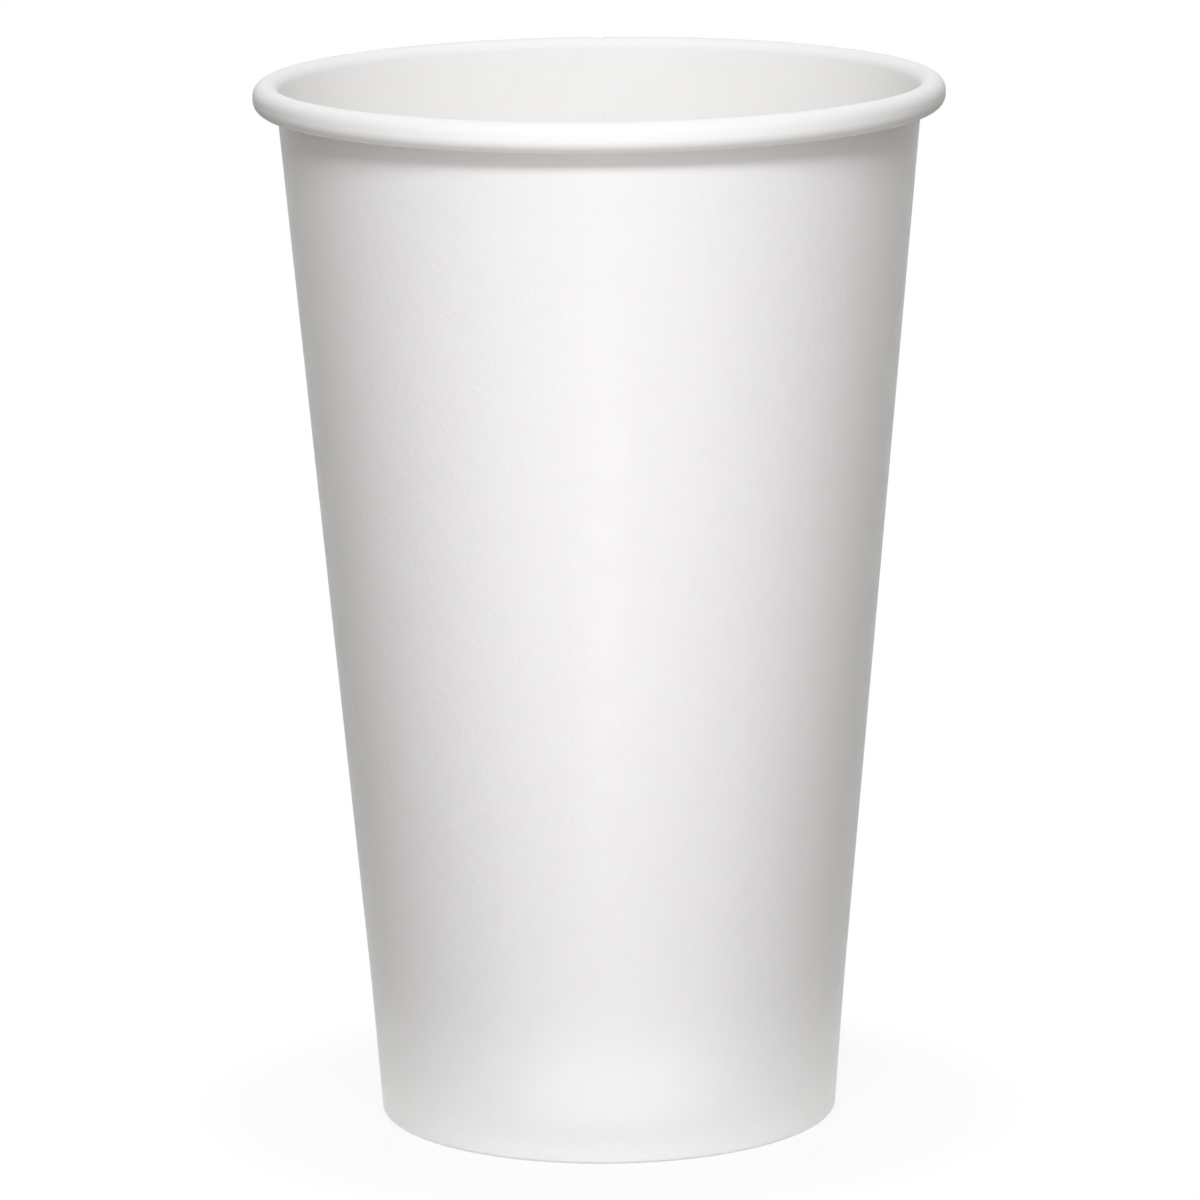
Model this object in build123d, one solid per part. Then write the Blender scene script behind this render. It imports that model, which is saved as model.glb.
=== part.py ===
from build123d import *
from build123d.topology import SkipClean
import os
from math import asin, atan2, cos, degrees, hypot, radians, sin, tan

# Single-wall paper hot cup, stood on its foot: its axis is Z, and the origin is the middle of the foot.
# Both pieces are bent board: a line draws the face on the drink's side, and the board lies behind it.
# Lengths are in millimetres and angles in degrees.

# Overall sizes
rim_diameter = 90.0  # outside of the rolled rim
foot_diameter = 60.3  # outside of the hem, at the table
cup_height = 137.7

# Board of the two blanks
wall_board = 0.45
base_board = 0.35

# Rolled rim
rim_width = 3.43  # across the roll, from its drink side to its outside
rim_height = 3.89
lip_clearance = 0.07  # between the lapped wall and the lip tucked up behind the roll
lip_turn = 150.0  # how far the lip curls on from the underside of the rim

# Flared foot and its hem
hem_height = 8.0  # from the table to the cut edge of the turned-in board
flare_set = 0.25  # how far the foot stands outside the line of the wall
flare_height = 18.0  # from the table to where the flare of the foot runs out into the wall
flare_bend_radius = 600.0  # soft bend between the flare and the wall
fold_radius = 0.08  # inside of the fold
seal_film = 0.04  # heat-seal film on each face of the base's skirt

# Base
base_height = 9.5  # from the table to its upper face
shoulder_radius = 0.8  # where the disc turns down into its skirt
skirt_clearance = 0.5  # between the skirt's cut edge and the fold below it

# Side seam, at the back
seam_angle = 89.3  # from the X axis to the inner flap's cut edge
lap_width = 7.0
lap_ramp = 2.0  # over which the outer flap climbs onto the inner one
lap_lead = 1.5  # over which the lap is pressed flat into the foot
seam_step = 0.25  # inner flap's cut edge, as it stands after pressing
seam_span = 12.0  # strip of the blank beside the cut edge, which keeps faces of its own

# Turns
full_turn = 360.0
half_turn = 180.0
quarter_turn = 90.0

# Roll of the rim, and the wall's line that runs from the table up to touch it
roll_radius = rim_width / 2
roll_r = rim_diameter / 2 - roll_radius
roll_z = cup_height - roll_radius
wall_foot = foot_diameter / 2 - flare_set - wall_board
roll_reach = hypot(roll_r - wall_foot, roll_z)
taper = degrees(atan2(roll_r - wall_foot, roll_z) - asin(roll_radius / roll_reach))
wall_slope = tan(radians(taper))
flare_slope = wall_slope - flare_set / flare_height


def wall_line(height):
    """Radius of the wall's drink side."""
    return wall_foot + height * wall_slope


def flare_line(height):
    """Radius of the flared foot's drink side, which stands steeper than the wall."""
    return wall_foot + flare_set + height * flare_slope


def drink_side(height):
    """Radius of the sidewall's drink side, foot or wall."""
    return max(flare_line(height), wall_line(height))


def board_section(line, thickness):
    """Section of a board that lies to the right of a line, stood upright through the cup's axis."""
    return Plane.XZ * make_face(offset(line, thickness, side=Side.RIGHT))


def rim_line():
    """Drink side of the rolled rim: over the top, down the outside, under, and up behind the roll."""
    lean = radians(taper)
    start = (roll_r - roll_radius * cos(lean), roll_z + roll_radius * sin(lean))
    under_z = cup_height - rim_height + roll_radius
    lip_radius = roll_r - drink_side(under_z) - wall_board * 2 - lip_clearance
    roll = JernArc(start, (sin(lean), cos(lean)), roll_radius, taper - half_turn)
    drop = Line(roll @ 1, roll @ 1 + (roll % 1) * (rim_height - rim_width))
    under = JernArc(drop @ 1, drop % 1, roll_radius, -quarter_turn)
    lip = JernArc(under @ 1, under % 1, lip_radius, -lip_turn)
    return [roll, drop, under, lip]


def sidewall_line():
    """Drink side of the sidewall, from the cut edge in the hem to the cut edge in the rim."""
    rim = rim_line()
    clamp = base_board + seal_film * 2
    wall = FilletPolyline(
        (flare_line(hem_height) - clamp, hem_height),
        (flare_line(wall_board) - clamp, wall_board),
        (flare_line(wall_board), wall_board),
        (flare_line(flare_height), flare_height),
        rim[0] @ 0,
        radius=[fold_radius, fold_radius, flare_bend_radius],
    )
    return Curve() + [wall, *rim]


def lap_slice(height, rise):
    """Level slice of the lap, from inside the wall to its rise above the outer face, ramped on one side."""
    outer_face = drink_side(height) + wall_board
    edge_angle = -degrees(lap_width / outer_face)
    ramp_angle = degrees(lap_ramp / outer_face)
    buried = CenterArc((0, 0), outer_face - wall_board / 2, edge_angle, ramp_angle - edge_angle)
    raised = CenterArc((0, 0), outer_face + rise, edge_angle, -edge_angle)
    cut_edge = Line(buried @ 0, raised @ 0)
    ramp = Line(raised @ 1, buried @ 1)
    return Pos(0, 0, height) * make_face([buried, raised, cut_edge, ramp])


def lap():
    """Outer flap where it lies on the inner one, from the fold of the foot up behind the rolled rim."""
    lap_foot = wall_board + fold_radius
    lap_top = cup_height - rim_height + roll_radius
    toe = lap_slice(lap_foot, -wall_board / 4)
    slices = [lap_slice(height, wall_board) for height in (lap_foot + lap_lead, flare_height, lap_top)]
    return loft([toe, *slices], ruled=True)


def seam_groove():
    """Room beside the inner flap's cut edge, up the wall and over the rim; it is shallower in the foot."""
    roll, drop, under, lip = rim_line()
    groove_foot = base_height - base_board
    path = Plane.XZ * (Curve() + [Line((wall_line(groove_foot), groove_foot), roll @ 0), roll, drop])
    across = Plane(path @ 0, x_dir=(0, 1, 0), z_dir=path % 0)
    wall_bow = lap_ramp**2 / foot_diameter
    clear = seam_step + wall_bow * 2
    wedge = Polyline((0, -seam_step), (lap_ramp * 2, clear), (0, clear), close=True)
    return sweep(across * make_face(wedge), path=path)


def sidewall():
    """One blank: turned-in hem, tapered wall, rolled rim and lapped side seam."""
    section = board_section(sidewall_line(), wall_board)
    seam_strip = Rot(0, 0, -seam_span / 2) * revolve(section, Axis.Z, seam_span) - seam_groove()
    plain_wall = Rot(0, 0, seam_span / 2) * revolve(section, Axis.Z, full_turn - seam_span)
    with SkipClean():
        blank = plain_wall + seam_strip + lap()
    return Rot(0, 0, seam_angle) * blank


def base():
    """Recessed disc with a skirt turned down into the hem."""
    skirt_foot = wall_board + fold_radius + skirt_clearance
    line = FilletPolyline(
        (0, base_height),
        (flare_line(base_height) - seal_film, base_height),
        (flare_line(skirt_foot) - seal_film, skirt_foot),
        radius=shoulder_radius,
    )
    return revolve(board_section(line, base_board), Axis.Z)


os.makedirs("parts", exist_ok=True)
for name, piece in (("sidewall", sidewall()), ("base", base())):
    export_step(piece, f"parts/{name}.step")
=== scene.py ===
from collections import namedtuple
from math import asin, atan2, cos, hypot, pi, radians, sin, tan

import bpy
from bpy.props import FloatProperty, FloatVectorProperty, IntProperty, PointerProperty
from mathutils import Matrix, Vector


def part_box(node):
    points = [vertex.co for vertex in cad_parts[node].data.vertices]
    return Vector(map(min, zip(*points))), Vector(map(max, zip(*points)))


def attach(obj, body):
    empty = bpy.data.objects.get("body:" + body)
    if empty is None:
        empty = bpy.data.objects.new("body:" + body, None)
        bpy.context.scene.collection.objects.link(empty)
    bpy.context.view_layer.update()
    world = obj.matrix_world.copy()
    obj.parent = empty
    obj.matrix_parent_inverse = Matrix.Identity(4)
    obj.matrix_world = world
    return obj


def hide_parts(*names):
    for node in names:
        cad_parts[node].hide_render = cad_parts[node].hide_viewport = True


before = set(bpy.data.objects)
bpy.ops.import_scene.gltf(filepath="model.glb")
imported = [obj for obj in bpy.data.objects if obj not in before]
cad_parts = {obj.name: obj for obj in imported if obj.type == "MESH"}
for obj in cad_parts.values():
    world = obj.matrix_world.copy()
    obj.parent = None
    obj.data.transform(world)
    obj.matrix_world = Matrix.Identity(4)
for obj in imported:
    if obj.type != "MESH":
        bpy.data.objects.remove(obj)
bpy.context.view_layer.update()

bl_info = {
    "name": "Paper Hot Cup",
    "version": (1, 0, 0),
    "blender": (4, 5, 0),
    "location": "View3D > Sidebar > Paper Cup",
    "description": "Makes a single-wall paper hot cup with a rolled rim, a lapped seam and a recessed base",
    "category": "Add Mesh",
}

MM = 0.001
WALL_LOW, WALL_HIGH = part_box("sidewall")
RIM_REACH = min(WALL_HIGH.x, WALL_HIGH.y, -WALL_LOW.x, -WALL_LOW.y)
BASE_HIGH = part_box("base")[1]

QUARTER_TURN = pi / 2.0
FULL_TURN = pi * 2.0


# Sizes and colours that a user would change


def length(name, millimetres, description):
    """Property for a length, with its default in millimetres."""
    return FloatProperty(
        name=name, description=description, default=millimetres * MM, min=0.0, precision=5,
        subtype="DISTANCE", unit="LENGTH",
    )


def angle(name, turn, description):
    """Property for an angle, with its default in degrees."""
    return FloatProperty(
        name=name, description=description, default=radians(turn), subtype="ANGLE", unit="ROTATION",
    )


def colour(name, rgb, description):
    """Property for a plain colour."""
    return FloatVectorProperty(
        name=name, description=description, default=rgb, size=3, min=0.0, max=1.0, subtype="COLOR",
    )


def factor(name, default, description):
    """Property for a share between nothing and all."""
    return FloatProperty(
        name=name, description=description, default=default, min=0.0, max=1.0, subtype="FACTOR",
    )


def power(name, watts, description):
    """Property for a lamp's power."""
    return FloatProperty(name=name, description=description, default=watts, min=0.0, unit="POWER")


class CupSizes(bpy.types.PropertyGroup):
    """Sizes of the two board pieces"""

    rim_diameter: length("Rim diameter", RIM_REACH * 2.0 / MM, "Outside of the rolled rim")
    cup_height: length("Height", WALL_HIGH.z / MM, "From the table to the top of the rim")
    foot_diameter: length("Foot diameter", 60.3, "Outside of the hem, at the table")
    wall_board: length("Wall board", 0.45, "Thickness of the sidewall's board")
    base_board: length("Base board", 0.35, "Thickness of the base's board")
    rim_width: length("Rim width", 3.43, "Across the roll, from its drink side to its outside")
    rim_height: length("Rim height", 3.89, "From the underside of the rolled rim to its top")
    lip_clearance: length("Lip clearance", 0.07, "Between the lapped wall and the lip behind the roll")
    lip_turn: angle("Lip turn", 150.0, "How far the lip curls on from the underside of the rim")
    hem_height: length("Hem height", 8.0, "From the table to the cut edge of the turned-in board")
    flare_set: length("Flare set", 0.25, "How far the foot stands outside the line of the wall")
    flare_height: length(
        "Flare height", 18.0, "From the table to where the flare of the foot runs out into the wall",
    )
    flare_bend: length("Flare bend", 600.0, "Radius of the soft bend between flare and wall")
    fold_radius: length("Fold radius", 0.08, "Inside of the fold at the foot")
    seal_film: length("Seal film", 0.04, "Heat-seal film on each face of the base's skirt")
    knurl_depth: length("Knurl depth", 0.09, "Depth of the press marks on the turned-in hem")
    knurl_marks: IntProperty(
        name="Knurl marks", description="Press marks round the hem", default=90, min=12,
    )
    base_height: length("Base height", BASE_HIGH.z / MM, "From the table to the upper face of the base")
    shoulder_radius: length("Shoulder radius", 0.8, "Where the disc turns down into its skirt")
    skirt_clearance: length("Skirt clearance", 0.5, "Between the skirt's cut edge and the fold below it")
    seam_angle: angle("Seam angle", 89.3, "From the X axis to the inner flap's cut edge")
    lap_width: length("Lap width", 7.0, "Width of the lapped flaps")
    lap_ramp: length("Lap ramp", 2.0, "Over which the outer flap climbs onto the inner one")
    lap_lead: length("Lap lead", 1.5, "Over which the lap is pressed flat into the foot")
    seam_step: length("Seam step", 0.25, "Height of the inner flap's cut edge after pressing")


class CupFinishes(bpy.types.PropertyGroup):
    """Colours and sheen of the board"""

    outer_colour: colour("Outer board", (0.90, 0.893, 0.891), "Coated face of the sidewall")
    lined_colour: colour("Lined board", (0.922, 0.918, 0.907), "Film-lined face inside the cup")
    # Rim: painted shade. The rim's top faces the key lamp, and this colour makes it darker than the lined
    # board.
    rim_painted_shade: colour("Rim", (0.862, 0.863, 0.866), "Film-lined face where it is stretched over the rim")
    under_colour: colour("Bare board", (0.83, 0.815, 0.785), "Uncoated underside of the base")
    edge_colour: colour("Cut edge", (0.80, 0.775, 0.73), "Raw edges of the board")
    outer_roughness: factor("Outer roughness", 0.34, "Middle roughness of the coated face")
    lined_roughness: factor("Lined roughness", 0.55, "Middle roughness of the film-lined face")
    cloud_tone: factor("Cloud tone", 0.03, "How much the board's clouds darken it")
    # Foot white: partly the hem and base board behind the wall, partly painted light of the table's bounce
    # on the foot.
    foot_backing_and_painted_light: factor(
        "Foot white", 0.3, "How much whiter the wall looks where the hem and the base lie behind it",
    )


class StageSettings(bpy.types.PropertyGroup):
    """Camera, lamps and floor"""

    camera_distance: length("Camera distance", 932.19, "From the cup's axis to the camera")
    camera_height: length("Camera height", 257.65, "From the table to the camera")
    camera_tilt: angle("Camera tilt", 11.47, "How far the camera looks down")
    camera_turn: angle("Camera turn", 0.0335, "How far the camera looks to the left of the axis")
    camera_roll: angle("Camera roll", 0.58, "How far the cup leans to the left in the picture")
    camera_lens: FloatProperty(
        name="Lens", description="Focal length on a 36 mm sensor", default=216.59, min=1.0,
        subtype="DISTANCE_CAMERA", unit="CAMERA",
    )
    floor_colour: colour("Floor", (0.8, 0.8, 0.8), "Floor close to the cup")
    floor_far_colour: colour(
        "Far floor", (0.1, 0.1, 0.1), "How much light the floor throws back further out",
    )
    floor_near: length("Near floor", 36.0, "How far from the axis the floor is at its brightest")
    floor_shadow: factor("Floor shadow", 0.15, "How much of the cup's shadow the white floor shows")
    room_light: FloatProperty(
        name="Room light", description="Even light of the room", default=0.457, min=0.0,
    )
    room_colour: colour("Room colour", (1.0, 0.984, 0.918), "Colour of the room's light")
    key_power: power("Key lamp", 6.64, "Wide soft box above the camera")
    key_colour: colour("Key colour", (0.942, 0.948, 1.0), "Colour of the key lamp")
    strip_power: power("Strip lamp", 0.65, "Narrow strip on the table, for the sheen down the wall")
    near_strip_power: power("Near strip lamp", 0.0275, "Nearer strip, for the sheen low on the wall")
    foot_strip_power: power("Foot strip lamp", 0.0032, "Short strip by the foot, for its sheen")
    strip_colour: colour("Strip colour", (1.0, 0.975, 0.965), "Colour of the strips")
    back_power: power("Back lamp", 0.5, "Soft box behind and above the cup")
    low_back_power: power("Low back lamp", 3.5, "Soft box behind the cup, at its height")
    inside_power: power("Inside spot", 6.0, "Narrow spot straight above, down into the cup")


# Lines of the folded and rolled board

# A station is (r, z, heading): the line's radius and height on the drink's side, and the way it runs.
# The board lies to the right of the line.

ROLL_STEPS = 26
UNDER_STEPS = 12
LIP_STEPS = 12
FOLD_STEPS = 5
BEND_STEPS = 8
FLARE_STATIONS = 8
WALL_STATIONS = 22
HEM_SHARES = (1.0, 0.93, 0.88, 0.66, 0.44, 0.24, 0.2, 0.14)  # of the hem's height, from its cut edge down
LAP_END = 0.02 * MM  # between the top of the lap and the stations on each side of it


def stations_between(start, end, count):
    """Even stations on a straight run, without its ends."""
    r0, z0 = start[:2]
    r1, z1 = end[:2]
    heading = atan2(z1 - z0, r1 - r0)
    shares = [i / (count + 1) for i in range(1, count + 1)]
    return [(r0 + (r1 - r0) * share, z0 + (z1 - z0) * share, heading) for share in shares]


def stations_at(start, end, heights):
    """Stations on a straight run, at these heights."""
    r0, z0 = start[:2]
    r1, z1 = end[:2]
    heading = atan2(z1 - z0, r1 - r0)
    return [(r0 + (r1 - r0) * (z - z0) / (z1 - z0), z, heading) for z in heights]


def curl(start, radius, turn, steps):
    """Stations on an arc that goes on from a station; a positive turn is to the left."""
    r, z, heading = start
    side = 1.0 if turn > 0.0 else -1.0
    middle_r = r - side * radius * sin(heading)
    middle_z = z + side * radius * cos(heading)
    found = []
    for step in range(1, steps + 1):
        way = heading + turn * step / steps
        found.append((middle_r + side * radius * sin(way), middle_z - side * radius * cos(way), way))
    return found


def rounded_corner(before, corner, after, radius, steps):
    """Stations round one corner of a line, from tangent point to tangent point."""
    way_in = atan2(corner[1] - before[1], corner[0] - before[0])
    way_out = atan2(after[1] - corner[1], after[0] - corner[0])
    turn = (way_out - way_in + pi) % FULL_TURN - pi
    reach = radius * tan(abs(turn) / 2.0)
    start = (corner[0] - reach * cos(way_in), corner[1] - reach * sin(way_in), way_in)
    return [start] + curl(start, radius, turn, steps)


def behind(station, depth):
    """Point of the board at a depth behind its line."""
    r, z, heading = station
    return r + depth * sin(heading), z - depth * cos(heading)


class SidewallLines:
    """Line of the sidewall from the hem's cut edge to the lip's, and the heights that features share."""

    def __init__(self, sizes):
        self.roll_radius = sizes.rim_width / 2.0
        self.roll_r = sizes.rim_diameter / 2.0 - self.roll_radius
        self.roll_z = sizes.cup_height - self.roll_radius
        self.wall_foot = sizes.foot_diameter / 2.0 - sizes.flare_set - sizes.wall_board
        lean_out = self.roll_r - self.wall_foot
        roll_reach = hypot(lean_out, self.roll_z)
        self.taper = atan2(lean_out, self.roll_z) - asin(self.roll_radius / roll_reach)
        self.slope = tan(self.taper)
        self.flare_slope = self.slope - sizes.flare_set / sizes.flare_height
        self.flare_foot = self.wall_foot + sizes.flare_set
        self.fold_top = sizes.wall_board + sizes.fold_radius
        self.lap_top = sizes.cup_height - sizes.rim_height + self.roll_radius

    def flare_r(self, height):
        """Radius of the flared foot's drink side."""
        return self.flare_foot + height * self.flare_slope

    def wall_r(self, height):
        """Radius of the wall's drink side."""
        return self.wall_foot + height * self.slope

    def rim(self, sizes):
        """Stations of the rolled rim: over the top, down the outside, under, and up behind the roll."""
        start = (
            self.roll_r - self.roll_radius * cos(self.taper),
            self.roll_z + self.roll_radius * sin(self.taper),
            QUARTER_TURN - self.taper,
        )
        lip_radius = self.roll_r - self.wall_r(self.lap_top) - sizes.wall_board * 2.0 - sizes.lip_clearance
        roll = [start] + curl(start, self.roll_radius, self.taper - pi, ROLL_STEPS)
        r, z, heading = roll[-1]
        drop = [(r, z - sizes.rim_height + sizes.rim_width, heading)]
        under = curl(drop[-1], self.roll_radius, -QUARTER_TURN, UNDER_STEPS)
        lip = curl(under[-1], lip_radius, -sizes.lip_turn, LIP_STEPS)
        return roll, drop, under, lip

    def wall(self, sizes, roll_start):
        """Stations of the hem, the flare and the wall, up to the roll."""
        clamp = sizes.base_board + sizes.seal_film * 2.0
        leg_top = (self.flare_r(sizes.hem_height) - clamp, sizes.hem_height)
        leg_foot = (self.flare_r(sizes.wall_board) - clamp, sizes.wall_board)
        flare_foot = (self.flare_r(sizes.wall_board), sizes.wall_board)
        flare_top = (self.flare_r(sizes.flare_height), sizes.flare_height)
        leg_fold = rounded_corner(leg_top, leg_foot, flare_foot, sizes.fold_radius, FOLD_STEPS)
        foot_fold = rounded_corner(leg_foot, flare_foot, flare_top, sizes.fold_radius, FOLD_STEPS)
        bend = rounded_corner(flare_foot, flare_top, roll_start, sizes.flare_bend, BEND_STEPS)
        leg = stations_at(leg_top, leg_fold[0], [sizes.hem_height * share for share in HEM_SHARES])
        flare = stations_between(foot_fold[-1], bend[0], FLARE_STATIONS)
        lap_end = stations_at(bend[-1], roll_start, [self.lap_top - LAP_END, self.lap_top + LAP_END])
        wall = stations_between(bend[-1], lap_end[0], WALL_STATIONS)
        return leg, leg_fold + foot_fold, flare + bend + wall + lap_end


# Columns round the cup

# Beside the seam a column keeps its distance from the inner flap's cut edge all the way up.
# The other columns share out the rest of the turn.

CUT_WIDTH = 0.03 * MM  # between the two columns of a cut edge
OUTSIDE_PLACES = (2.0 * MM, 1.0 * MM, 0.3 * MM, CUT_WIDTH)  # beyond the outer flap's cut edge
RAISED_SHARES = (0.0, 0.06, 0.2, 0.4, 0.6, 0.8, 0.95)  # of the lap's width
RAMP_SHARES = (0.0, 0.15, 0.35, 0.55, 0.75, 1.0, 1.5, 2.0)  # of the lap's ramp
CLIMB_SHARE = 0.8  # of the ramp, over which the outer flap climbs
MARK_SHARES = (0.0, 0.5, 1.0, 0.5)  # depth of one press mark, column by column


class SeamColumns:
    """Columns of the sidewall, with the rise of the lap and the depth of the groove at each."""

    def __init__(self, sizes):
        lap, ramp = sizes.lap_width, sizes.lap_ramp
        outside = [-lap - place for place in OUTSIDE_PLACES]
        raised = [-lap + lap * share for share in RAISED_SHARES] + [-CUT_WIDTH]
        ramped = [ramp * share for share in RAMP_SHARES]
        self.seam = outside + raised + ramped
        self.lap_edge = len(outside) - 1
        self.flap_edge = len(outside) + len(raised) - 1
        self.plain = sizes.knurl_marks * len(MARK_SHARES)
        self.count = len(self.seam) + self.plain - 1
        self.start = sizes.seam_angle
        self.sizes = sizes

    def turn(self, column, r):
        """Angle of a column where the surface has this radius."""
        first, last = self.seam[0] / r, self.seam[-1] / r
        if column < len(self.seam):
            return self.start + self.seam[column] / r
        share = (column - len(self.seam) + 1) / self.plain
        return self.start + last + share * (FULL_TURN + first - last)

    def rise(self, column):
        """How far the outer face stands out at the lap."""
        if not self.lap_edge < column < len(self.seam):
            return 0.0
        climb = max(0.0, self.seam[column]) / (self.sizes.lap_ramp * CLIMB_SHARE)
        return self.sizes.wall_board * (0.5 + 0.5 * cos(pi * min(1.0, climb)))

    def groove(self, column):
        """How deep the drink side lies beside the inner flap's cut edge."""
        if not self.flap_edge < column < len(self.seam):
            return 0.0
        return self.sizes.seam_step * max(0.0, 1.0 - self.seam[column] / self.sizes.lap_ramp)

    def knurl(self, column):
        """Depth of the hem's press marks, as a share."""
        if column < len(self.seam):
            return 0.0
        return MARK_SHARES[(column - len(self.seam) + 1) % len(MARK_SHARES)]


def ramp_between(value, low, high):
    """Share of the way from low to high, held at the ends."""
    return min(1.0, max(0.0, (value - low) / (high - low)))


# Nodes

# The Mix node's colour sockets share their names with its number sockets, so they go by place.
MIX_FIRST, MIX_SECOND, MIX_RESULT = 6, 7, 2
OPAQUE = 1.0
WHITE = (1.0, 1.0, 1.0)


def add_node(tree, kind, inputs=None, **settings):
    """Adds a node, sets it up, and links or sets its inputs."""
    node = tree.nodes.new(kind)
    for name, value in settings.items():
        setattr(node, name, value)
    for name, value in (inputs or {}).items():
        if isinstance(value, bpy.types.NodeSocket):
            tree.links.new(value, node.inputs[name])
        else:
            node.inputs[name].default_value = value
    return node


def add_math(tree, operation, *values):
    """Adds a maths node and returns its result."""
    return add_node(tree, "ShaderNodeMath", dict(enumerate(values)), operation=operation).outputs[0]


def add_range(tree, value, span, result=(0.0, 1.0), interpolation="LINEAR"):
    """Adds a node that maps a span of values to a range of results, and returns its result."""
    inputs = {
        "Value": value, "From Min": span[0], "From Max": span[1], "To Min": result[0], "To Max": result[1],
    }
    return add_node(tree, "ShaderNodeMapRange", inputs, interpolation_type=interpolation).outputs[0]


def add_mix(tree, share, first, second):
    """Adds a mix of two colours and returns its result."""
    inputs = {"Factor": share, MIX_FIRST: first, MIX_SECOND: second}
    return add_node(tree, "ShaderNodeMix", inputs, data_type="RGBA").outputs[MIX_RESULT]


def object_place(tree):
    """Adds the place on the object and returns it."""
    return add_node(tree, "ShaderNodeTexCoord").outputs["Object"]


def seen_rays(tree):
    """Adds a mask of the rays that see the background, straight or in a shiny or clear surface."""
    rays = add_node(tree, "ShaderNodeLightPath").outputs
    seen = add_math(tree, "MAXIMUM", rays["Is Camera Ray"], rays["Is Glossy Ray"])
    return add_math(tree, "MAXIMUM", seen, rays["Is Transmission Ray"])


def empty_material(name):
    """New material with an empty node tree."""
    material = bpy.data.materials.new(name)
    material.use_nodes = True
    material.node_tree.nodes.clear()
    return material


# Board finishes

FIBRE_INPUTS = {"Cloud scale": 220.0, "Fibre scale": 900.0, "Fibre length": 6.0}
FIBRE_TURNS = ((0.0, 0.0, 0.0), (0.5, 0.9, 0.2), (-0.7, 0.4, 1.1))  # of the three layers of fibres
CLOUD_SPAN = (0.32, 0.68)
FIBRE_SPAN = (0.42, 0.72)
CLOUD_RELIEF_SHARE = 0.6  # of the clouds, beside the fibres
CLOUD_TINT = (1.0, 1.05, 1.2)  # how much clouds darken red, green and blue
FIBRE_TINT = (0.9, 1.0, 1.25)
BARE_CLOUD_SHARE = 2.0  # of the coated board's clouds
EDGE_CLOUD_SHARE = 3.0
FOOT_FADE_SHARE = 1.5  # of the hem's height, over which the whiter foot (partly backing board, partly painted light) fades out above the base
RIM_START_SHARE = 0.6  # of the rim's width, from its top down to where its painted shade starts
RIM_FULL_SHARE = 0.27  # of the rim's width, from its top down to where its painted shade is full


def paper_fibre_group():
    """Node group with the clouds, fibres and relief of pressed board."""
    name = "Paper fibre"
    if name in bpy.data.node_groups:
        return bpy.data.node_groups[name]
    tree = bpy.data.node_groups.new(name, "ShaderNodeTree")
    for socket_name, default in FIBRE_INPUTS.items():
        socket = tree.interface.new_socket(socket_name, in_out="INPUT", socket_type="NodeSocketFloat")
        socket.default_value = default
    for socket_name in ("Cloud", "Fibre", "Relief"):
        tree.interface.new_socket(socket_name, in_out="OUTPUT", socket_type="NodeSocketFloat")
    given = add_node(tree, "NodeGroupInput").outputs
    place = object_place(tree)
    cloud = add_node(tree, "ShaderNodeTexNoise", {
        "Vector": place, "Scale": given["Cloud scale"], "Detail": 5.0, "Roughness": 0.62,
    })
    squeeze = add_math(tree, "DIVIDE", 1.0, given["Fibre length"])
    fibres = []
    for turn in FIBRE_TURNS:
        spin = add_node(tree, "ShaderNodeVectorRotate", {
            "Vector": place, "Rotation": turn,
        }, rotation_type="EULER_XYZ")
        long_way = add_node(tree, "ShaderNodeCombineXYZ", {"X": 1.0, "Y": 1.0, "Z": squeeze})
        drawn = add_node(tree, "ShaderNodeVectorMath", {
            0: spin.outputs[0], 1: long_way.outputs[0],
        }, operation="MULTIPLY")
        strand = add_node(tree, "ShaderNodeTexNoise", {
            "Vector": drawn.outputs[0], "Scale": given["Fibre scale"], "Detail": 2.0, "Roughness": 0.5,
        })
        fibres.append(strand.outputs["Fac"])
    upper = add_math(tree, "MAXIMUM", fibres[0], fibres[1])
    mat = add_math(tree, "MAXIMUM", upper, fibres[2])
    clear_cloud = add_range(tree, cloud.outputs["Fac"], CLOUD_SPAN)
    clear_mat = add_range(tree, mat, FIBRE_SPAN)
    relief = add_math(tree, "MULTIPLY_ADD", clear_cloud, CLOUD_RELIEF_SHARE, clear_mat)
    add_node(tree, "NodeGroupOutput", {"Cloud": clear_cloud, "Fibre": clear_mat, "Relief": relief})
    return tree


Grain = namedtuple("Grain", "cloud_scale fibre_scale fibre_length cloud_tone fibre_tone strength depth")
Blend = namedtuple("Blend", "rgb share none_at all_at")


def darker(rgb, tone, tint):
    """Colour that is darker by a tone, which a tint spreads over red, green and blue."""
    return (*(value * (1.0 - tone * shade) for value, shade in zip(rgb, tint)), OPAQUE)


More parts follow.
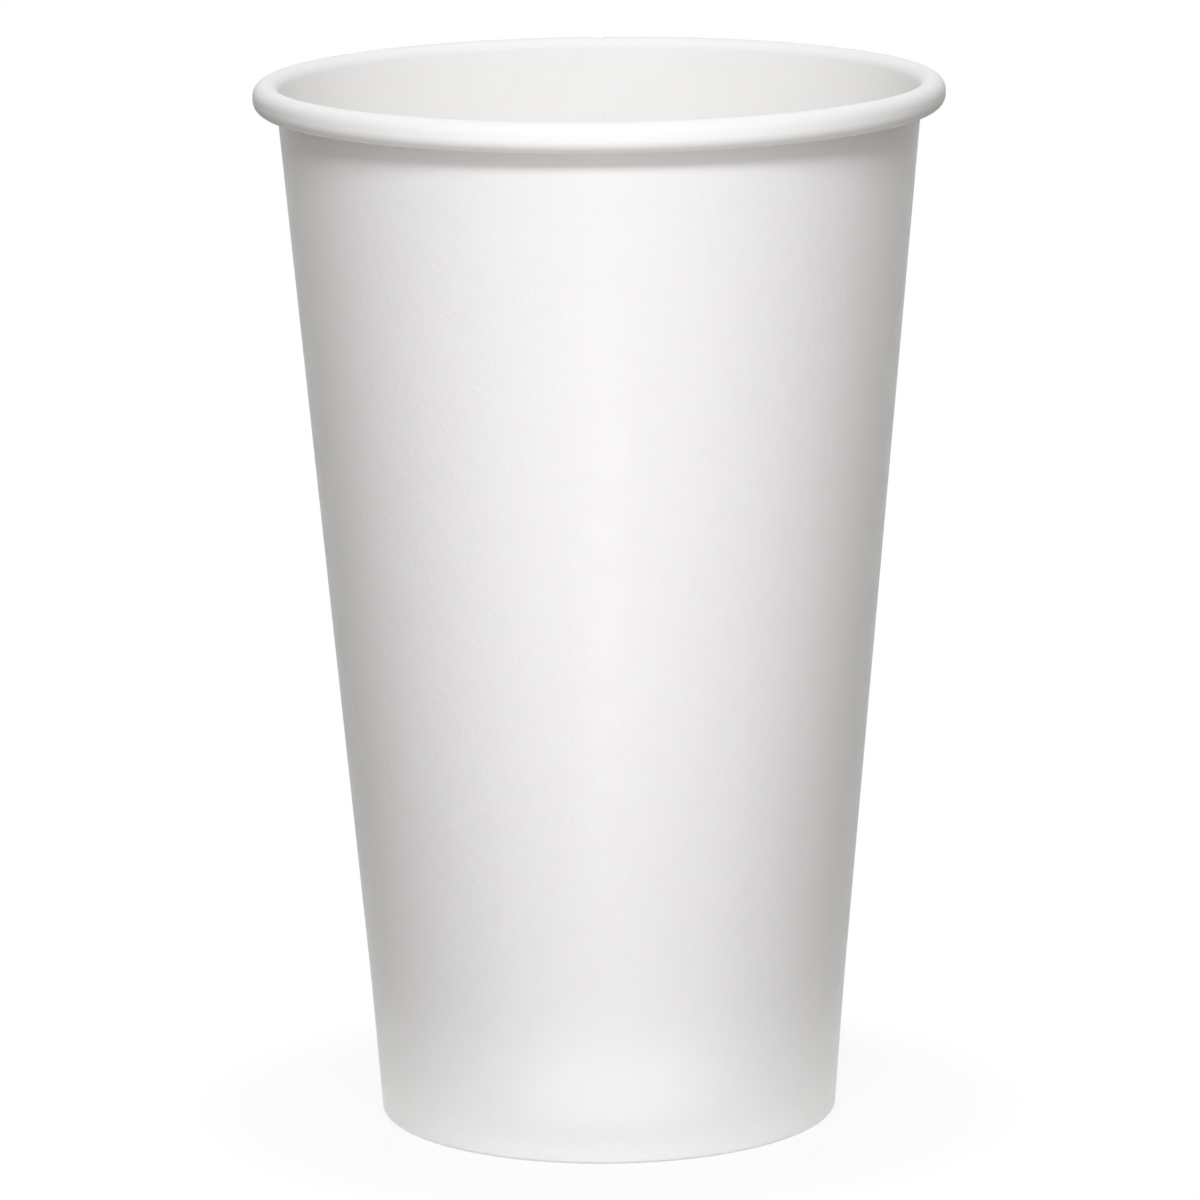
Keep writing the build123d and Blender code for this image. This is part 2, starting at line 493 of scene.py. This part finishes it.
def board_finish(name, rgb, roughness, spread, sheen, grain, blend=None):
    """Board with clouds and fibres in its colour, roughness and relief, and a second tone by height:
    painted shade on the rim, and the whiter foot with its painted light.
    """
    material = empty_material(name)
    tree = material.node_tree
    fibre = add_node(tree, "ShaderNodeGroup", node_tree=paper_fibre_group())
    for socket, value in zip(FIBRE_INPUTS, (grain.cloud_scale, grain.fibre_scale, grain.fibre_length)):
        fibre.inputs[socket].default_value = value
    cloud = fibre.outputs["Cloud"]
    tone = add_mix(tree, cloud, (*rgb, OPAQUE), darker(rgb, grain.cloud_tone, CLOUD_TINT))
    tone = add_mix(tree, fibre.outputs["Fibre"], tone, darker(rgb, grain.fibre_tone, FIBRE_TINT))
    if blend:
        height = add_node(tree, "ShaderNodeSeparateXYZ", {"Vector": object_place(tree)}).outputs["Z"]
        share = add_range(tree, height, (blend.all_at, blend.none_at), (blend.share, 0.0), "SMOOTHSTEP")
        tone = add_mix(tree, share, tone, (*blend.rgb, OPAQUE))
    rough = add_range(tree, cloud, (0.0, 1.0), (roughness - spread, roughness + spread))
    bump = add_node(tree, "ShaderNodeBump", {
        "Height": fibre.outputs["Relief"], "Strength": grain.strength, "Distance": grain.depth,
    })
    board = add_node(tree, "ShaderNodeBsdfPrincipled", {
        "Base Color": tone, "Roughness": rough, "Normal": bump.outputs[0],
        "IOR": 1.45, "Specular IOR Level": sheen,
    })
    add_node(tree, "ShaderNodeOutputMaterial", {"Surface": board.outputs[0]})
    return material


def coated_outer(finishes, sizes):
    """Clay-coated face of the sidewall: satin, faintly clouded, and whiter towards the foot, partly for the
    board behind it and partly as painted light of the table's bounce.
    """
    grain = Grain(
        cloud_scale=240.0, fibre_scale=1100.0, fibre_length=3.0,
        cloud_tone=finishes.cloud_tone, fibre_tone=0.012, strength=0.4, depth=0.045 * MM,
    )
    # Whiter foot: partly the backing board, partly painted light of the table's bounce.
    foot_backing_and_painted_light_blend = Blend(
        WHITE, finishes.foot_backing_and_painted_light,
        none_at=sizes.base_height + sizes.hem_height * FOOT_FADE_SHARE, all_at=sizes.base_height,
    )
    return board_finish(
        "coated_outer_board", finishes.outer_colour, finishes.outer_roughness,
        spread=0.05, sheen=0.12, grain=grain, blend=foot_backing_and_painted_light_blend,
    )


def film_lined(name, finishes, sizes):
    """Film-lined face inside the cup and over the rim: smoother, with fibres under the film, and painted
    shade on the rim's top.
    """
    grain = Grain(
        cloud_scale=180.0, fibre_scale=800.0, fibre_length=6.0,
        cloud_tone=finishes.cloud_tone, fibre_tone=0.015, strength=0.1, depth=0.02 * MM,
    )
    # Painted shade on the rolled rim's top, in place of less key light falling on it.
    painted_rim_shade = Blend(
        finishes.rim_painted_shade, 1.0,
        none_at=sizes.cup_height - sizes.rim_width * RIM_START_SHARE,
        all_at=sizes.cup_height - sizes.rim_width * RIM_FULL_SHARE,
    )
    return board_finish(
        name, finishes.lined_colour, finishes.lined_roughness,
        spread=0.04, sheen=0.07, grain=grain, blend=painted_rim_shade,
    )


def bare_board(finishes):
    """Uncoated underside of the base: matt, with fibres that show."""
    grain = Grain(
        cloud_scale=160.0, fibre_scale=700.0, fibre_length=7.0,
        cloud_tone=finishes.cloud_tone * BARE_CLOUD_SHARE, fibre_tone=0.05, strength=0.35, depth=0.03 * MM,
    )
    return board_finish(
        "bare_base_board", finishes.under_colour, roughness=0.82, spread=0.06, sheen=0.25, grain=grain,
    )


def cut_edge(name, finishes):
    """Raw edge of the board: rough and a little darker."""
    grain = Grain(
        cloud_scale=900.0, fibre_scale=2600.0, fibre_length=4.0,
        cloud_tone=finishes.cloud_tone * EDGE_CLOUD_SHARE, fibre_tone=0.12, strength=0.6, depth=0.04 * MM,
    )
    return board_finish(name, finishes.edge_colour, roughness=0.9, spread=0.05, sheen=0.2, grain=grain)


# Pieces

SHARP_ANGLE = radians(38.0)
GROOVE_FADE = 4  # stations under the rim over which the seam's groove fades out
MARKS_MIDDLE_SHARE = 0.54  # of the hem's height, as the next two
MARKS_END_SHARE = 0.36  # from the middle of the press marks to where they end
MARKS_FULL_SHARE = 0.3  # from the middle of the press marks to where they start to fade
SHOULDER_STEPS = 8
DISC_STATIONS = 14
SKIRT_STATIONS = 5
BASE_COLUMNS = 240

# A row is a ring of the mesh, with the way it is pushed behind the drink's side and how much each
# feature of the seam or the hem pushes it.
Row = namedtuple("Row", "r z way_r way_z lapped grooved knurled")


def round_point(r, z, turn):
    """Point at a radius, height and angle."""
    return r * cos(turn), r * sin(turn), z


def ring_face(row, next_row, column, around):
    """Corners of the face between two rows, from a column to the next one round."""
    next_column = (column + 1) % around
    return [
        row * around + column, next_row * around + column,
        next_row * around + next_column, row * around + next_column,
    ]


def add_piece(name, points, faces, finish_of_face, finishes, node):
    """Makes a mesh piece that stands for a CAD node."""
    mesh = bpy.data.meshes.new(name)
    mesh.from_pydata(points, [], faces)
    for finish in finishes:
        mesh.materials.append(finish)
    mesh.polygons.foreach_set("material_index", finish_of_face)
    mesh.shade_smooth()
    mesh.set_sharp_from_angle(angle=SHARP_ANGLE)
    mesh.update()
    piece = bpy.data.objects.new(name, mesh)
    bpy.context.scene.collection.objects.link(piece)
    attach(piece, "root")
    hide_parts(node)


class PAPERCUP_OT_sidewall(bpy.types.Operator):
    """Make the sidewall: turned-in hem, tapered wall, lapped seam and rolled rim"""

    bl_idname = "paper_cup.make_sidewall"
    bl_label = "Sidewall"

    def execute(self, context):
        sizes, finishes = context.scene.cup_sizes, context.scene.cup_finishes
        lines, columns = SidewallLines(sizes), SeamColumns(sizes)
        roll, drop, under, lip = lines.rim(sizes)
        leg, folds, wall = lines.wall(sizes, roll[0])
        stations = leg + folds + wall + roll + drop + under + lip
        wall_from = len(leg) + len(folds)
        wall_to = wall_from + len(wall)
        groove_to = wall_to + len(roll) + len(drop)
        lap_foot, groove_foot = lines.fold_top, sizes.base_height - sizes.base_board

        rows = []
        for i, (r, z, heading) in enumerate(stations):
            grooved = ramp_between(i, groove_to + GROOVE_FADE, groove_to)
            if i < wall_from or z < groove_foot:
                grooved = 0.0
            rows.append(Row(r, z, sin(heading), -cos(heading), 0.0, grooved, 0.0))
        for i, (r, z, heading) in reversed(list(enumerate(stations))):
            lapped = knurled = 0.0
            if wall_from <= i < wall_to and z < lines.lap_top:
                lapped = ramp_between(z, lap_foot, lap_foot + sizes.lap_lead)
            if i < len(leg):
                off_middle = abs(z / sizes.hem_height - MARKS_MIDDLE_SHARE)
                knurled = ramp_between(off_middle, MARKS_END_SHARE, MARKS_FULL_SHARE)
            back_r, back_z = behind((r, z, heading), sizes.wall_board)
            rows.append(Row(back_r, back_z, sin(heading), -cos(heading), lapped, 0.0, knurled))

        points = []
        for row in rows:
            for column in range(columns.count):
                shift = row.lapped * columns.rise(column) + row.grooved * columns.groove(column)
                shift -= row.knurled * columns.knurl(column) * sizes.knurl_depth
                r, z = row.r + row.way_r * shift, row.z + row.way_z * shift
                points.append(round_point(r, z, columns.turn(column, row.r)))

        outer, lined, edge = 0, 1, 2
        faces, finish_of_face = [], []
        for k, row in enumerate(rows):
            next_row = (k + 1) % len(rows)
            for column in range(columns.count):
                faces.append(ring_face(k, next_row, column, columns.count))
                finish = lined if k < len(stations) else outer
                lap_side = column == columns.lap_edge and row.lapped > 0.0
                if next_row in (0, len(stations)) or lap_side:
                    finish = edge
                finish_of_face.append(finish)

        board = [
            coated_outer(finishes, sizes),
            film_lined("film_lined_wall", finishes, sizes),
            cut_edge("cut_wall_edge", finishes),
        ]
        add_piece("cup_sidewall", points, faces, finish_of_face, board, "sidewall")
        return {"FINISHED"}


class PAPERCUP_OT_base(bpy.types.Operator):
    """Make the base: recessed disc with its skirt turned down into the hem"""

    bl_idname = "paper_cup.make_base"
    bl_label = "Base"

    def execute(self, context):
        sizes, finishes = context.scene.cup_sizes, context.scene.cup_finishes
        lines = SidewallLines(sizes)
        skirt_foot = lines.fold_top + sizes.skirt_clearance
        centre = (0.0, sizes.base_height)
        corner = (lines.flare_r(sizes.base_height) - sizes.seal_film, sizes.base_height)
        foot = (lines.flare_r(skirt_foot) - sizes.seal_film, skirt_foot)
        shoulder = rounded_corner(centre, corner, foot, sizes.shoulder_radius, SHOULDER_STEPS)
        disc = stations_between(centre, shoulder[0], DISC_STATIONS)
        skirt = stations_between(shoulder[-1], foot, SKIRT_STATIONS) + [(*foot, shoulder[-1][2])]
        stations = disc + shoulder + skirt
        rows = [station[:2] for station in stations]
        rows += [behind(station, sizes.base_board) for station in reversed(stations)]

        turns = [FULL_TURN * column / BASE_COLUMNS for column in range(BASE_COLUMNS)]
        points = [round_point(r, z, turn) for r, z in rows for turn in turns]
        top, bottom = len(points), len(points) + 1
        points += [(0.0, 0.0, sizes.base_height), (0.0, 0.0, sizes.base_height - sizes.base_board)]

        lined, bare, edge = 0, 1, 2
        edge_row, last_row = len(stations) - 1, len(rows) - 1
        faces, finish_of_face = [], []
        for column in range(BASE_COLUMNS):
            next_column = (column + 1) % BASE_COLUMNS
            last = last_row * BASE_COLUMNS
            faces.append([top, column, next_column])
            faces.append([bottom, last + next_column, last + column])
            finish_of_face += [lined, bare]
            for k in range(last_row):
                faces.append(ring_face(k, k + 1, column, BASE_COLUMNS))
                finish_of_face.append(lined if k < edge_row else edge if k == edge_row else bare)

        board = [
            film_lined("film_lined_base", finishes, sizes),
            bare_board(finishes),
            cut_edge("cut_base_edge", finishes),
        ]
        add_piece("cup_base", points, faces, finish_of_face, board, "base")
        return {"FINISHED"}


# Stage

FLOOR_COLUMNS = 120
FLOOR_REACH = 6.0
FLOOR_DROP = 0.02 * MM  # below the foot
FLOOR_FADE_SHARE = 2.0  # of the near floor, out to where the floor has its far colour
GLOW_FADE_SHARE = 1.6  # of the near floor, out to where the floor shows no shadow

# Places and sizes of the lamps are in metres.
LAMP_TARGET = Vector((0.0, 0.0, 0.08))
KEY_PLACE, KEY_SIZE = (-0.006, -0.713, 0.781), (0.49, 0.17)
BACK_PLACE, BACK_SIZE = (0.0, 0.579, 0.769), (0.25, 0.25)
LOW_BACK_PLACE, LOW_BACK_SIZE = (0.0, 0.75, 0.09), (0.25, 0.15)
STRIP_PLACE, STRIP_SIZE = (0.003, -0.42, 0.004), (0.03, 0.56)
NEAR_STRIP_PLACE, NEAR_STRIP_SIZE = (0.003, -0.2, 0.004), (0.03, 0.25)
FOOT_STRIP_PLACE, FOOT_STRIP_SIZE = (0.003, -0.07, 0.004), (0.04, 0.07)
SPOT_HEIGHT = 1.0
SPOT_RADIUS = 0.02
SPOT_BLEND = 0.3
SPOT_REACH_SHARE = 1.1  # of the floor's hole, for the circle that it lights on the table

SENSOR_WIDTH = 36.0
CLIP_NEAR, CLIP_FAR = 0.05, 50.0


def floor_finish(stage):
    """White floor that keeps a share of the cup's shadow, and is clear from below."""
    material = empty_material("studio_floor")
    tree = material.node_tree
    under = add_node(tree, "ShaderNodeNewGeometry").outputs["Backfacing"]
    place = object_place(tree)
    reach = add_node(tree, "ShaderNodeVectorMath", {0: place}, operation="LENGTH").outputs["Value"]
    near = stage.floor_near
    far = add_range(tree, reach, (near, near * FLOOR_FADE_SHARE), interpolation="SMOOTHSTEP")
    tone = add_mix(tree, far, (*stage.floor_colour, OPAQUE), (*stage.floor_far_colour, OPAQUE))
    matt = add_node(tree, "ShaderNodeBsdfDiffuse", {"Color": tone})
    white = add_node(tree, "ShaderNodeEmission", {"Color": (*WHITE, OPAQUE), "Strength": 1.0})
    white_share = (1.0 - stage.floor_shadow, 1.0)
    glow = add_range(tree, reach, (near, near * GLOW_FADE_SHARE), white_share, "SMOOTHSTEP")
    share = add_math(tree, "MULTIPLY", seen_rays(tree), glow)
    lit = add_node(tree, "ShaderNodeMixShader", {0: share, 1: matt.outputs[0], 2: white.outputs[0]})
    clear = add_node(tree, "ShaderNodeBsdfTransparent")
    both = add_node(tree, "ShaderNodeMixShader", {0: under, 1: lit.outputs[0], 2: clear.outputs[0]})
    add_node(tree, "ShaderNodeOutputMaterial", {"Surface": both.outputs[0]})
    material.cycles.emission_sampling = "NONE"
    return material


def room_world(stage):
    """Even room light, with white behind the cup."""
    world = bpy.data.worlds.new("studio_room")
    world.use_nodes = True
    tree = world.node_tree
    tree.nodes.clear()
    room = add_node(tree, "ShaderNodeBackground", {
        "Color": (*stage.room_colour, OPAQUE), "Strength": stage.room_light,
    })
    white = add_node(tree, "ShaderNodeBackground", {"Color": (*WHITE, OPAQUE), "Strength": 1.0})
    both = add_node(tree, "ShaderNodeMixShader", {
        0: seen_rays(tree), 1: room.outputs[0], 2: white.outputs[0],
    })
    add_node(tree, "ShaderNodeOutputWorld", {"Surface": both.outputs[0]})
    world.cycles.sampling_method = "NONE"
    return world


def soft_box(name, place, size, watts, tint):
    """Area lamp that points at the cup and doesn't show in the picture."""
    lamp = bpy.data.lights.new(name, "AREA")
    lamp.shape = "RECTANGLE"
    lamp.size, lamp.size_y = size
    lamp.energy = watts
    lamp.color = tint
    box = bpy.data.objects.new(name, lamp)
    box.location = place
    box.rotation_euler = (LAMP_TARGET - Vector(place)).to_track_quat("-Z", "Y").to_euler()
    box.visible_camera = False
    bpy.context.scene.collection.objects.link(box)
    return box


def strip_lamp(name, place, size, watts, tint):
    """Area lamp that lies on the table and points straight up."""
    strip = soft_box(name, place, size, watts, tint)
    strip.rotation_euler = (pi, 0.0, 0.0)


def spot_lamp(name, height, reach, watts):
    """Spot above the cup's axis that points straight down, and lights a circle on the table."""
    lamp = bpy.data.lights.new(name, "SPOT")
    lamp.energy = watts
    lamp.spot_blend = SPOT_BLEND
    lamp.shadow_soft_size = SPOT_RADIUS
    lamp.spot_size = 2.0 * atan2(reach, height)
    spot = bpy.data.objects.new(name, lamp)
    spot.location.z = height
    bpy.context.scene.collection.objects.link(spot)
    return spot


def add_floor(hole, stage):
    """Floor with a hole that the foot hides, so that light reaches the recess under the base."""
    turns = [FULL_TURN * column / FLOOR_COLUMNS for column in range(FLOOR_COLUMNS)]
    points = [round_point(r, 0.0, turn) for r in (hole, FLOOR_REACH) for turn in turns]
    faces = [ring_face(0, 1, column, FLOOR_COLUMNS) for column in range(FLOOR_COLUMNS)]
    mesh = bpy.data.meshes.new("studio_floor")
    mesh.from_pydata(points, [], faces)
    mesh.materials.append(floor_finish(stage))
    floor = bpy.data.objects.new("studio_floor", mesh)
    floor.location.z = -FLOOR_DROP
    bpy.context.scene.collection.objects.link(floor)


def add_lamps(hole, stage):
    """Key and back soft boxes, strips on the table, and a spot into the cup."""
    soft_box("key_soft_box", KEY_PLACE, KEY_SIZE, stage.key_power, stage.key_colour)
    back = soft_box("back_soft_box", BACK_PLACE, BACK_SIZE, stage.back_power, WHITE)
    low_back = soft_box("low_back_soft_box", LOW_BACK_PLACE, LOW_BACK_SIZE, stage.low_back_power, WHITE)
    inside = spot_lamp("inside_spot", SPOT_HEIGHT, hole * SPOT_REACH_SHARE, stage.inside_power)
    for lamp in (back, low_back, inside):
        lamp.visible_glossy = False
    tint = stage.strip_colour
    strip_lamp("strip_lamp", STRIP_PLACE, STRIP_SIZE, stage.strip_power, tint)
    strip_lamp("near_strip_lamp", NEAR_STRIP_PLACE, NEAR_STRIP_SIZE, stage.near_strip_power, tint)
    strip_lamp("foot_strip_lamp", FOOT_STRIP_PLACE, FOOT_STRIP_SIZE, stage.foot_strip_power, tint)


def add_camera(stage):
    """Camera at the viewing angle of the picture."""
    lens = bpy.data.cameras.new("studio_camera")
    lens.lens = stage.camera_lens
    lens.sensor_width = SENSOR_WIDTH
    lens.clip_start, lens.clip_end = CLIP_NEAR, CLIP_FAR
    camera = bpy.data.objects.new("studio_camera", lens)
    camera.matrix_world = (
        Matrix.Translation((0.0, -stage.camera_distance, stage.camera_height))
        @ Matrix.Rotation(stage.camera_turn, 4, "Z")
        @ Matrix.Rotation(QUARTER_TURN - stage.camera_tilt, 4, "X")
        @ Matrix.Rotation(-stage.camera_roll, 4, "Z")
    )
    bpy.context.scene.collection.objects.link(camera)
    bpy.context.scene.camera = camera


class PAPERCUP_OT_stage(bpy.types.Operator):
    """Make the stage: floor, room light, lamps and camera"""

    bl_idname = "paper_cup.make_stage"
    bl_label = "Stage"

    def execute(self, context):
        scene, stage, sizes = context.scene, context.scene.cup_stage, context.scene.cup_sizes
        hole = sizes.foot_diameter / 2.0 - sizes.wall_board
        add_floor(hole, stage)
        scene.world = room_world(stage)
        add_lamps(hole, stage)
        add_camera(stage)
        scene.view_settings.view_transform = "Standard"
        return {"FINISHED"}


# Add-on


class PAPERCUP_PT_panel(bpy.types.Panel):
    """Sizes, colours and pieces of the cup"""

    bl_idname = "PAPERCUP_PT_panel"
    bl_label = "Paper Cup"
    bl_space_type = "VIEW_3D"
    bl_region_type = "UI"
    bl_category = "Paper Cup"

    def draw(self, context):
        for name, group in GROUPS.items():
            box = self.layout.box()
            for setting in group.__annotations__:
                box.prop(getattr(context.scene, name), setting)
        for operator in OPERATORS:
            self.layout.operator(operator.bl_idname)


GROUPS = {"cup_sizes": CupSizes, "cup_finishes": CupFinishes, "cup_stage": StageSettings}
OPERATORS = (PAPERCUP_OT_sidewall, PAPERCUP_OT_base, PAPERCUP_OT_stage)


def register():
    """Adds the settings, the operators and the panel to Blender."""
    for name, group in GROUPS.items():
        bpy.utils.register_class(group)
        setattr(bpy.types.Scene, name, PointerProperty(type=group))
    for part in (*OPERATORS, PAPERCUP_PT_panel):
        bpy.utils.register_class(part)


def unregister():
    """Takes them out again."""
    for part in (PAPERCUP_PT_panel, *reversed(OPERATORS)):
        bpy.utils.unregister_class(part)
    for name, group in reversed(GROUPS.items()):
        delattr(bpy.types.Scene, name)
        bpy.utils.unregister_class(group)


def main():
    register()
    bpy.ops.paper_cup.make_sidewall()
    bpy.ops.paper_cup.make_base()
    bpy.ops.paper_cup.make_stage()


if __name__ == "__main__":
    main()
